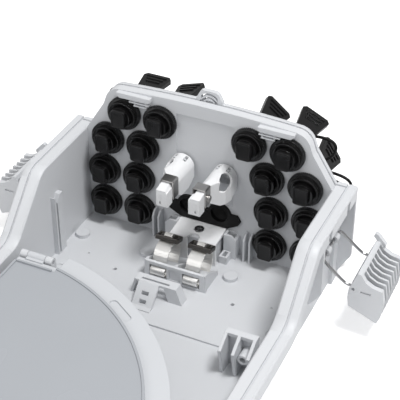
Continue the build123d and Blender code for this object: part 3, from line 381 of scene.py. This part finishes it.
# %% Lock nut
RIM_RADIUS, HUB_RADIUS, BORE_RADIUS = 14.1 * MM, 12.0 * MM, 9.15 * MM
RIM_DEEP, HUB_DEEP = 4.2 * MM, 3.3 * MM
NUT_SIDES, NUT_EDGE, NUT_TURN = 108, 0.22 * MM, radians(5)
RIB_ROOT, RIB_HIGH = 0.25 * MM, 0.5 * MM
LIP, BORE_FLOOR = 0.5 * MM, 0.2 * MM
FACING, SIDEWAYS = 0.9, 0.1


def faces_forward(centre, normal):
    """Faces that look at the inside of the box."""
    return normal.y < -FACING


nut = start_piece("lock nut pattern", bpy.ops.mesh.primitive_cylinder_add, vertices=NUT_SIDES,
                  radius=RIM_RADIUS - RIB_ROOT, depth=RIM_DEEP, location=(0, -RIM_DEEP / 2, 0),
                  rotation=(radians(90), 0, 0))
pick_faces(nut, faces_forward)
bpy.ops.mesh.inset(thickness=RIM_RADIUS - HUB_RADIUS)
push((0, -HUB_DEEP, 0))
bpy.ops.mesh.inset(thickness=LIP)
push((0, LIP, 0))
bpy.ops.mesh.inset(thickness=HUB_RADIUS - RIB_ROOT - LIP - BORE_RADIUS)
push((0, RIM_DEEP + HUB_DEEP - LIP - BORE_FLOOR, 0))


def around(point):
    """Angle of a point about the port's axis."""
    return atan2(point.z, point.x) % (2 * pi)


def is_rib(centre, normal):
    """Every second face round the outside."""
    step = round((around(centre) / (2 * pi)) * NUT_SIDES - 0.5)
    outside = centre.x**2 + centre.z**2 > (HUB_RADIUS - 1.0 * MM) ** 2
    return outside and abs(normal.y) < SIDEWAYS and step % 2 == 0


ribs = pick_faces(nut, is_rib)
bpy.ops.mesh.extrude_region_shrink_fatten(TRANSFORM_OT_shrink_fatten={"value": RIB_HIGH})
close_piece(nut, port_plastic, NUT_EDGE)
for number, (x, z) in enumerate(ports, 1):
    turned = Matrix.Translation((x, PORT_FACE, z)) @ Matrix.Rotation(NUT_TURN * number, 4, "Y")
    place_copy(nut, f"lock_nut_{number:02d}", turned, "case", "lock_nuts")
print("ribs", ribs, "nut size", [round(v / MM, 1) for v in nut.dimensions])
forget(nut)

# %% [markdown]
# ## Inner dust plugs
# A blunt plug closes each coupler from inside. It is a block with well rounded corners, a shallow
# field in its face, and a softer front edge.

# %% Inner dust plug
PLUG_BACK = 10.4 * MM
PLUG_WIDE, PLUG_DEEP, PLUG_HIGH = 12.0 * MM, 3.6 * MM, 15.5 * MM
PLUG_CORNER, PLUG_EDGE = 2.4 * MM, 0.6 * MM
FIELD_BORDER, FIELD_DEEP = 1.3 * MM, 0.25 * MM
plug = start_piece("plug pattern", bpy.ops.mesh.primitive_cube_add, size=1.0,
                   location=(0, -PLUG_BACK - PLUG_DEEP / 2, 0), scale=(PLUG_WIDE, PLUG_DEEP, PLUG_HIGH))
shape = bmesh.from_edit_mesh(plug.data)
for edge in shape.edges:
    along = (edge.verts[1].co - edge.verts[0].co).normalized()
    edge.select_set(abs(along.y) > FACING)
bmesh.update_edit_mesh(plug.data)
bpy.ops.mesh.bevel(offset=PLUG_CORNER, segments=5)
pick_faces(plug, faces_forward)
bpy.ops.mesh.inset(thickness=FIELD_BORDER)
push((0, FIELD_DEEP, 0))
close_piece(plug, cap_plastic, PLUG_EDGE, 3)
for number, (x, z) in enumerate(ports, 1):
    place_copy(plug, f"inner_plug_{number:02d}", Matrix.Translation((x, PORT_FACE, z)), "case",
               "inner_dust_plugs")
print("plug size", [round(v / MM, 1) for v in plug.dimensions])
forget(plug)

# %% [markdown]
# ## Feeder seals
# Each dome of the rubber seal is closed by a thin membrane that is cut open when a cable goes through
# it. It starts as a disc, whose rings are inset one by one and pushed in to make a shallow cone.

# %% Entry membranes
ENTRY_BORE = 7.5 * MM
ENTRY_X, ENTRY_HEIGHT = 14.0 * MM, DECK + 36.8 * MM
MEMBRANE_PLACE, MEMBRANE_SKIN = 1.0 * MM, 0.5 * MM
MEMBRANE_RINGS, RING_WIDE, RING_SINK = 3, 2.0 * MM, 0.9 * MM
membrane = start_piece("membrane pattern", bpy.ops.mesh.primitive_circle_add, vertices=48,
                       radius=ENTRY_BORE, fill_type="NGON", location=(0, MEMBRANE_PLACE, 0),
                       rotation=(radians(90), 0, 0))
pick_faces(membrane, lambda centre, normal: True)
for ring in range(MEMBRANE_RINGS):
    bpy.ops.mesh.inset(thickness=RING_WIDE)
    bpy.ops.transform.translate(value=(0, RING_SINK, 0))
bpy.ops.object.mode_set(mode="OBJECT")
skin = membrane.modifiers.new("skin", "SOLIDIFY")
skin.thickness = MEMBRANE_SKIN
bpy.ops.object.modifier_apply(modifier=skin.name)
close_piece(membrane, seal_rubber, 0)
for side, x in (("left", -ENTRY_X), ("right", ENTRY_X)):
    place_copy(membrane, f"entry_membrane_{side}", Matrix.Translation((x, PORT_FACE, ENTRY_HEIGHT)),
               "case", None)
print("membrane size", [round(v / MM, 1) for v in membrane.dimensions])
forget(membrane)

# %% [markdown]
# ## Strap clamps
# The end of each strap is rolled back through the bracket's window, where it shows as a bright roll. The
# roll is a cylinder whose ends are inset and pushed in, which makes it a tube. On the crown of the
# strap sits a pressed housing, a block that is subdivided so that a row of its top faces can be sunk
# as slots, with the knurled worm between them.

# %% Strap rolls and housings
STRAP_X, STRAP_WIDTH = 14.5 * MM, 12.5 * MM
STRAP_BACK, STRAP_LIFT = PORT_FACE - 41.5 * MM, 0.3 * MM
HOOP_RADIUS = 13.2 * MM
ROLL_RADIUS, ROLL_WALL, ROLL_EDGE = 4.3 * MM, 0.8 * MM, 0.15 * MM
ROLL_BACK, ROLL_HEIGHT = PORT_FACE - 56.0 * MM, DECK + 7.9 * MM
HOUSING_LONG, HOUSING_DEEP, HOUSING_HIGH = 20.0 * MM, 10.4 * MM, 3.8 * MM
HOUSING_TILT, HOUSING_EDGE, HOUSING_COLUMNS = radians(-18), 0.25 * MM, 11
SLOT_REACH, SLOT_DEEP = 3.4 * MM, 1.2 * MM
WORM_RADIUS, WORM_LONG, WORM_HEIGHT = 2.6 * MM, 7.0 * MM, 3.0 * MM
TOOTH_PACE, TOOTH_HIGH = 12, 0.35 * MM
roll = start_piece("roll pattern", bpy.ops.mesh.primitive_cylinder_add, vertices=48, radius=ROLL_RADIUS,
                   depth=STRAP_WIDTH, location=(0, ROLL_BACK, ROLL_HEIGHT), rotation=(0, radians(90), 0))
for hand in (1, -1):
    pick_faces(roll, lambda centre, normal: normal.x * hand > FACING and centre.x * hand > 0)
    bpy.ops.mesh.inset(thickness=ROLL_WALL)
    push((-hand * STRAP_WIDTH / 3, 0, 0))
close_piece(roll, band_steel, ROLL_EDGE)
hoop_middle = Matrix.Translation((0, STRAP_BACK, DECK + HOOP_RADIUS + STRAP_LIFT))
crown = hoop_middle @ Matrix.Rotation(HOUSING_TILT, 4, "X") @ Matrix.Translation((0, 0, HOOP_RADIUS))
housing = start_piece("housing pattern", bpy.ops.mesh.primitive_cube_add, size=1.0,
                      location=(0, 0, HOUSING_HIGH / 2), scale=(HOUSING_LONG, HOUSING_DEEP, HOUSING_HIGH))
bpy.ops.mesh.select_all(action="SELECT")
bpy.ops.mesh.subdivide(number_cuts=HOUSING_COLUMNS - 1)


def is_slot(centre, normal):
    """Every second column of the top, in the middle rows, apart from the column under the worm."""
    column = round(centre.x / (HOUSING_LONG / HOUSING_COLUMNS))
    return normal.z > FACING and column % 2 == 0 and column != 0 and abs(centre.y) < SLOT_REACH


slots = pick_faces(housing, is_slot)
push((0, 0, -SLOT_DEEP))
close_piece(housing, worm_steel, HOUSING_EDGE)
worm = start_piece("worm pattern", bpy.ops.mesh.primitive_cylinder_add, vertices=48, radius=WORM_RADIUS,
                   depth=WORM_LONG, location=(0, 0, WORM_HEIGHT), rotation=(0, radians(90), 0))
bpy.ops.mesh.select_all(action="SELECT")
bpy.ops.mesh.subdivide(number_cuts=3)


def is_tooth(centre, normal):
    """Every second strip along the worm."""
    strip = round(atan2(centre.y, centre.z - WORM_HEIGHT) * TOOTH_PACE)
    return abs(normal.x) < SIDEWAYS and strip % 2 == 0


teeth = pick_faces(worm, is_tooth)
bpy.ops.mesh.extrude_region_shrink_fatten(TRANSFORM_OT_shrink_fatten={"value": TOOTH_HIGH})
close_piece(worm, band_steel, 0)
for side, x in (("left", -STRAP_X), ("right", STRAP_X)):
    across = Matrix.Translation((x, 0, 0))
    place_copy(roll, f"strap_roll_{side}", across, "case", None)
    place_copy(housing, f"worm_housing_{side}", across @ crown, "case", "strap_housings")
    place_copy(worm, f"worm_{side}", across @ crown, "case", "strap_screws")
print("slots", slots, "teeth", teeth)
for pattern in (roll, housing, worm):
    forget(pattern)

# %% [markdown]
# ## Wires and cords
# A drawn wire or a moulded cord is a curve with a round section. A NURBS curve of order three
# stays straight between control points that lie in line and rounds the corners between them, so
# two points near a corner make one neat bend.


# %% Wire helper
def wire(name, points, radius, finish, body, node):
    """A round wire along a smooth line, made into a mesh."""
    line = bpy.data.curves.new(name, "CURVE")
    line.dimensions = "3D"
    line.bevel_depth = radius
    line.bevel_resolution = 5
    line.resolution_u = 8
    line.use_fill_caps = True
    spline = line.splines.new("NURBS")
    spline.points.add(len(points) - 1)
    for point, place in zip(spline.points, points):
        point.co = (*place, 1.0)
    spline.order_u = 3
    spline.use_endpoint_u = True
    guide = bpy.data.objects.new(name, line)
    bpy.context.scene.collection.objects.link(guide)
    bpy.context.view_layer.update()
    mesh = bpy.data.meshes.new_from_object(guide)
    bpy.data.objects.remove(guide, do_unlink=True)
    mesh.name = name
    thing = bpy.data.objects.new(name, mesh)
    bpy.context.scene.collection.objects.link(thing)
    mesh.materials.clear()
    mesh.materials.append(finish)
    mesh.polygons.foreach_set("use_smooth", [True] * len(mesh.polygons))
    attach(thing, body)
    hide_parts(node)


def softened(points, cut):
    """The same run with two points near every inner corner in place of one."""
    run = [Vector(points[0])]
    for before, corner, after in zip(points, points[1:], points[2:]):
        here = Vector(corner)
        run += [here + (Vector(other) - here).normalized() * cut for other in (before, after)]
    return run + [Vector(points[-1])]


print("wire helpers ready")

# %% [markdown]
# ## Latch bails
# Each latch hangs on a closed loop of wire. The loop runs through the lugs on the case, slopes down
# outside the wall and carries the ribbed lever on its outer bar. Its ends meet between the lugs.

# %% Latch bails
WIRE_RADIUS, WIRE_BEND = 1.2 * MM, 2.4 * MM
PIVOT_HEIGHT, KNEE_HEIGHT = DECK + 58.3 * MM, DECK + 41.3 * MM
PIVOT_OUT, KNEE_OUT, BAR_OUT = 118.5 * MM, 138.0 * MM, 145.5 * MM
BAIL_NEAR, BAIL_FAR = PORT_FACE - 47.0 * MM, PORT_FACE - 7.0 * MM
HALF_SPLIT = 0.4 * MM
for hand, side in ((-1, "left"), (1, "right")):
    middle = (BAIL_NEAR + BAIL_FAR) / 2
    profile = [(PIVOT_OUT, middle - HALF_SPLIT, PIVOT_HEIGHT), (PIVOT_OUT, BAIL_NEAR, PIVOT_HEIGHT),
               (KNEE_OUT, BAIL_NEAR, KNEE_HEIGHT), (BAR_OUT, BAIL_NEAR, KNEE_HEIGHT),
               (BAR_OUT, BAIL_FAR, KNEE_HEIGHT), (KNEE_OUT, BAIL_FAR, KNEE_HEIGHT),
               (PIVOT_OUT, BAIL_FAR, PIVOT_HEIGHT), (PIVOT_OUT, middle + HALF_SPLIT, PIVOT_HEIGHT)]
    corners = [(hand * out, y, z) for out, y, z in profile]
    wire(f"bail_wire_{side}", softened(corners, WIRE_BEND), WIRE_RADIUS, wire_steel, f"bail_{side}",
         f"latch_bail_{side}")
print("bail reach", round(BAR_OUT / MM, 1))

# %% [markdown]
# ## Cap tethers
# A soft strap keeps each dust cap on its coupler. It has a flat ring at each end: one round the
# coupler, one round the neck of the cap. The cord between them bows out, wider on the caps of the
# outer columns, where it shows past the wall. Its line repeats that of the solid model.

# %% Tether rings
RING = 2.4 * MM
RING_EDGE = 0.5 * MM
CAP_START, CAP_GAP = 10.7 * MM, 0.3 * MM
CAP_LONG, NECK_LONG = 14.0 * MM, 6.0 * MM
LOW_PLACE = CAP_START - CAP_GAP - RING
HIGH_PLACE = CAP_START + CAP_LONG + (NECK_LONG - RING) / 2
LOW_BORE, HIGH_BORE = 9.45 * MM, 6.5 * MM


def ring_pattern(name, bore, start):
    """A flat ring: an open cylinder that gets its wall from Solidify."""
    ring = start_piece(name, bpy.ops.mesh.primitive_cylinder_add, vertices=64, radius=bore, depth=RING,
                       end_fill_type="NOTHING", location=(0, start + RING / 2, 0),
                       rotation=(radians(90), 0, 0))
    bpy.ops.object.mode_set(mode="OBJECT")
    wall = ring.modifiers.new("wall", "SOLIDIFY")
    wall.thickness = RING
    wall.offset = 1.0
    bpy.ops.object.modifier_apply(modifier=wall.name)
    return close_piece(ring, seal_rubber, RING_EDGE)


low_ring = ring_pattern("low ring pattern", LOW_BORE, LOW_PLACE)
high_ring = ring_pattern("high ring pattern", HIGH_BORE, HIGH_PLACE)
for number, (x, z) in enumerate(ports, 1):
    for pattern, label in ((low_ring, "low"), (high_ring, "high")):
        place_copy(pattern, f"tether_{label}_ring_{number:02d}", Matrix.Translation((x, PORT_FACE, z)),
                   "case", "cap_tethers")
for pattern in (low_ring, high_ring):
    print("ring size", [round(v / MM, 1) for v in pattern.dimensions])
    forget(pattern)


# %% Tether cords
CORD_RADIUS = 1.2 * MM
CORD_CLOSE, CORD_RISE = 16.4 * MM, 4.0 * MM
BOW_WIDE, BOW_NARROW, BOW_ROUND = 30.5 * MM, 24.5 * MM, 3.0 * MM
CLIMB_WIDE, CLIMB_NARROW = 19.0 * MM, 2.0 * MM
CORD_DROP, TOP_CORD_DROP = 15, 5


def spoke(centre, turn, reach, depth):
    """Point at a distance from a port's axis, in the direction of an angle from +X towards +Z."""
    x, z = centre
    return (x + reach * cos(radians(turn)), PORT_FACE + depth, z + reach * sin(radians(turn)))


def cord_line(centre, heading, outward):
    """The places that one cord runs through."""
    sign = 1 if cos(radians(heading)) > 0 else -1
    start, finish = LOW_PLACE + RING / 2, HIGH_PLACE + RING / 2
    far = BOW_WIDE if outward else BOW_NARROW
    climb = CLIMB_WIDE if outward else start + CLIMB_NARROW
    stops = [(-38, LOW_BORE + CORD_RADIUS, start), (-38, CORD_CLOSE, start),
             (-38, CORD_CLOSE + CORD_RISE, climb), (-24, far - BOW_ROUND, finish - 5 * MM),
             (-8, far, finish - 1 * MM), (6, far - BOW_ROUND, finish + 1 * MM),
             (16, CORD_CLOSE, finish), (16, HIGH_BORE + CORD_RADIUS, finish)]
    return [spoke(centre, heading + turn * sign, reach, depth) for turn, reach, depth in stops]


top_row = max(z for x, z in ports)
for number, (x, z) in enumerate(ports, 1):
    nearest = min(abs(other) for other, height in ports if abs(height - z) < 1 * MM)
    outward = abs(x) > nearest + 1 * MM
    drop = TOP_CORD_DROP if z > top_row - 1 * MM else CORD_DROP
    tilt = -drop if outward else 0
    heading = tilt if (x > 0) == outward else 180 - tilt
    wire(f"tether_cord_{number:02d}", cord_line((x, z), heading, outward), CORD_RADIUS, seal_rubber,
         "case", "cap_tethers")
print("cords", len(ports))

# %% [markdown]
# ## Floor and light
# A wide pale floor and soft lamps, as on a photographer's table. The world gives an even fill. A
# small lamp high on the right draws the shadows, and a broad one lights the box from the front.
# The floor and the world look white to the camera alone, so the object isn't lit by the backdrop.

# %% Floor
FLOOR_SIZE, FLOOR_GLOW = 6.0, 0.42
PAPER_WHITE = (0.93, 0.93, 0.935, 1.0)
bpy.ops.object.select_all(action="DESELECT")
bpy.ops.mesh.primitive_plane_add(size=FLOOR_SIZE, location=(0, 0, 0))
floor = bpy.context.object
floor.name = "studio floor"
paper = Finish("paper")
seen = paper.node("ShaderNodeLightPath", {}, {}, "Is Camera Ray")
floor.data.materials.append(paper.surface(Base_Color=PAPER_WHITE, Roughness=0.9,
                                          Emission_Color=(1.0, 1.0, 1.0, 1.0),
                                          Emission_Strength=seen * FLOOR_GLOW))
print("floor", FLOOR_SIZE)


# %% Lights
def lamp(name, place, aim, size, power):
    """A square soft lamp that looks at a point."""
    data = bpy.data.lights.new(name, "AREA")
    data.shape = "SQUARE"
    data.size = size
    data.energy = power
    thing = bpy.data.objects.new(name, data)
    thing.location = place
    thing.rotation_euler = (Vector(aim) - Vector(place)).to_track_quat("-Z", "Y").to_euler()
    bpy.context.scene.collection.objects.link(thing)


AIM = (0, 0.06, 0.05)
FILL_STRENGTH, BACKDROP_STRENGTH = 0.50, 1.0
lamp("key lamp", (0.6, -0.05, 1.57), AIM, 0.4, 19.5)
lamp("front lamp", (-0.8, -1.4, 1.2), AIM, 1.0, 6.0)

world = bpy.data.worlds.new("studio")
bpy.context.scene.world = world
world.use_nodes = True
links = world.node_tree.links
background = world.node_tree.nodes["Background"]
rays = world.node_tree.nodes.new("ShaderNodeLightPath")
fill_light = world.node_tree.nodes.new("ShaderNodeMapRange")
fill_light.inputs["To Min"].default_value = FILL_STRENGTH
fill_light.inputs["To Max"].default_value = BACKDROP_STRENGTH
links.new(rays.outputs["Is Camera Ray"], fill_light.inputs["Value"])
links.new(fill_light.outputs["Result"], background.inputs["Strength"])
background.inputs["Color"].default_value = (1.0, 1.0, 1.0, 1.0)
